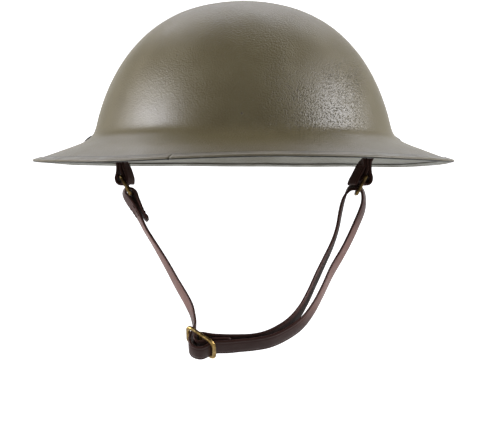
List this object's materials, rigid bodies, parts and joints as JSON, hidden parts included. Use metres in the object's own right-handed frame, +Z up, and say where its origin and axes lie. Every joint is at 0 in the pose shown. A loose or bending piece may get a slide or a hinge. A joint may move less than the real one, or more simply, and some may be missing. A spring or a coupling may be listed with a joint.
{
  "type": "brodie helmet",
  "caption": "Shallow bowl-shaped steel helmet with a wide sloping brim, rolled rim, netted liner with rubber buffers, and a leather chin strap hung from wire bails.",
  "frame": {"origin": "centre of the head opening, in the plane of the brim's edge", "axes": "+Z up out of the crown, +X to the right seen from the front, the wearer's front towards -Y"},
  "size_m": [0.2922, 0.3142, 0.2477],
  "materials": {
    "shell_paint": "matt, slightly rough brown-green paint",
    "steel": "dull, darkened steel",
    "brass": "aged, satin",
    "leather": "worn dark red-brown",
    "oilcloth": "black, slightly waxy cloth",
    "rubber": "matt",
    "felt": "soft grey-brown felt",
    "twine": "undyed cotton twine"
  },
  "bodies": {
    "helmet": {"shell": "shell_paint", "brim_rim": "shell_paint", "crown_rivet": "shell_paint", "crown_washer": "steel", "bail_clip_left": "steel", "bail_clip_right": "steel", "bail_rivet_left": "steel", "bail_rivet_right": "steel", "headband": "oilcloth", "buffer_band": "oilcloth", "rubber_buffers": "rubber", "crown_straps": "oilcloth", "head_net": "twine", "net_lacing": "twine", "drawstring": "twine", "crown_pad": "felt"},
    "bail_left_b": {"bail_left": "steel"},
    "bail_right_b": {"bail_right": "steel"},
    "tab_left_b": {"strap_tab_left": "leather"},
    "tab_right_b": {"strap_tab_right": "leather"},
    "ring_right_b": {"ring_right": "brass"},
    "strap_b": {"ring_left": "brass", "chin_strap": "leather"},
    "slide_b": {"slide_buckle": "brass"}
  },
  "joints": [
    {"name": "bail_left_swing", "type": "hinge", "parent": "helmet", "child": "bail_left_b", "pos_m": [-0.0986, 0, 0.0196], "axis": [0, 1, 0], "range_deg": [-8, 8]},
    {"name": "bail_right_swing", "type": "hinge", "parent": "helmet", "child": "bail_right_b", "pos_m": [0.0986, 0, 0.0196], "axis": [0, 1, 0], "range_deg": [-8, 8]},
    {"name": "tab_left_bend", "type": "hinge", "parent": "bail_left_b", "child": "tab_left_b", "pos_m": [-0.089, 0, 0.0032], "axis": [0, 1, 0], "range_deg": [-8.9, 8.9]},
    {"name": "tab_right_bend", "type": "hinge", "parent": "bail_right_b", "child": "tab_right_b", "pos_m": [0.089, 0, 0.0032], "axis": [0, 1, 0], "range_deg": [-8.9, 8.9]},
    {"name": "strap_swing", "type": "hinge", "parent": "tab_left_b", "child": "strap_b", "pos_m": [-0.087, 0, -0.004], "axis": [1, 0, 0], "range_deg": [-62, 80], "deforming": ["strap_tab_left"]},
    {"name": "ring_right_swing", "type": "hinge", "parent": "tab_right_b", "child": "ring_right_b", "pos_m": [0.087, 0, -0.004], "axis": [1, 0, 0], "range_deg": [-62, 80], "deforming": ["strap_tab_right"]},
    {"name": "buckle_tilt", "type": "hinge", "parent": "strap_b", "child": "slide_b", "pos_m": [-0.02854, -0.04978, -0.12427], "axis": [0, -0.788, 0.6157], "range_deg": [-3, 0.5]}
  ],
  "couplings": [
    {"joint": "bail_right_swing", "follows": "bail_left_swing", "ratio": 1},
    {"joint": "tab_left_bend", "follows": "bail_left_swing", "ratio": -1.1075},
    {"joint": "tab_right_bend", "follows": "bail_left_swing", "ratio": -1.1075},
    {"joint": "ring_right_swing", "follows": "strap_swing", "ratio": 1}
  ]
}
